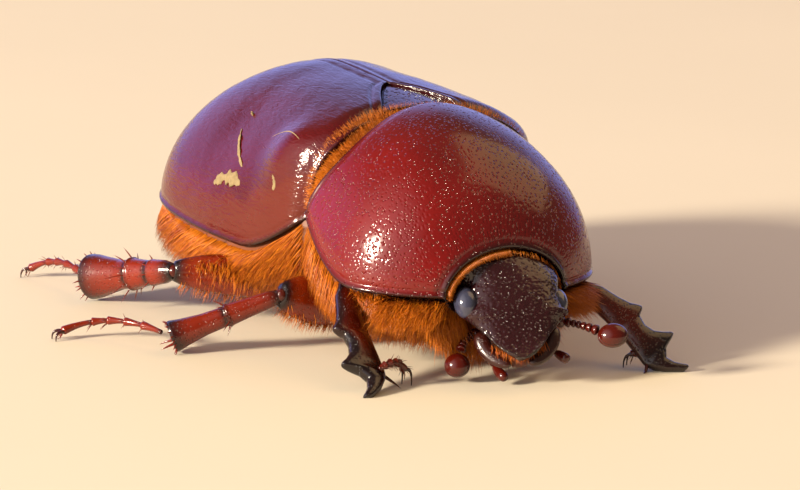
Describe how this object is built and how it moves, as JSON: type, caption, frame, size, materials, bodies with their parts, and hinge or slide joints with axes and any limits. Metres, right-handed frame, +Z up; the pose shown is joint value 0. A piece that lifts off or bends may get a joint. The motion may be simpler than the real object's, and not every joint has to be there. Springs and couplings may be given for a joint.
{
  "type": "rhinoceros beetle",
  "caption": "Hornless female rhinoceros beetle standing on its legs, head turned down and to its right, wing cases closed, underside and leg bases covered with golden hair.",
  "frame": {"origin": "centre of the animal's bounding box, on the floor it stands on", "axes": "-Y the way the body faces, +X the beetle's left, +Z up"},
  "size_m": [0.0248, 0.0254, 0.0103],
  "materials": {
    "pronotum_shell": "polished chitin with fine punctures",
    "wing_case": "polished chitin with fine lengthwise wrinkles",
    "scutellum_plate": "polished chitin",
    "hairy_underside": "dense laid golden hair over brown cuticle",
    "abdomen_hair": "laid reddish hair over brown cuticle",
    "head_capsule": "coarsely punctured near-black chitin",
    "eye_lens": "smooth and very glossy",
    "mouth_brown": "satin chitin with hair",
    "jaw_black": "polished black chitin",
    "feeler_red": "polished red-brown chitin",
    "thigh_cuticle": "glossy red-brown chitin",
    "leg_cuticle": "glossy dark brown chitin"
  },
  "bodies": {
    "root": {"pronotum": "pronotum_shell", "elytron_left": "wing_case", "elytron_right": "wing_case", "scutellum": "scutellum_plate", "prothorax": "hairy_underside", "thorax": "hairy_underside", "abdomen": "abdomen_hair", "head": "head_capsule", "eye_left": "eye_lens", "eye_right": "eye_lens", "mouthparts": "mouth_brown", "mandible_left": "jaw_black", "mandible_right": "jaw_black", "antenna_left": "feeler_red", "antenna_right": "feeler_red", "antenna_club_left": "feeler_red", "antenna_club_right": "feeler_red", "palp_left": "feeler_red", "palp_right": "feeler_red", "femur_fore_left": "thigh_cuticle", "femur_fore_right": "thigh_cuticle", "femur_mid_left": "thigh_cuticle", "femur_mid_right": "thigh_cuticle", "femur_hind_left": "thigh_cuticle", "femur_hind_right": "thigh_cuticle", "tibia_fore_left": "leg_cuticle", "tibia_fore_right": "leg_cuticle", "tibia_mid_left": "leg_cuticle", "tibia_mid_right": "leg_cuticle", "tibia_hind_left": "leg_cuticle", "tibia_hind_right": "leg_cuticle", "tarsus_fore_left": "leg_cuticle", "tarsus_fore_right": "leg_cuticle", "tarsus_mid_left": "leg_cuticle", "tarsus_mid_right": "leg_cuticle", "tarsus_hind_left": "leg_cuticle", "tarsus_hind_right": "leg_cuticle"}
  },
  "joints": []
}
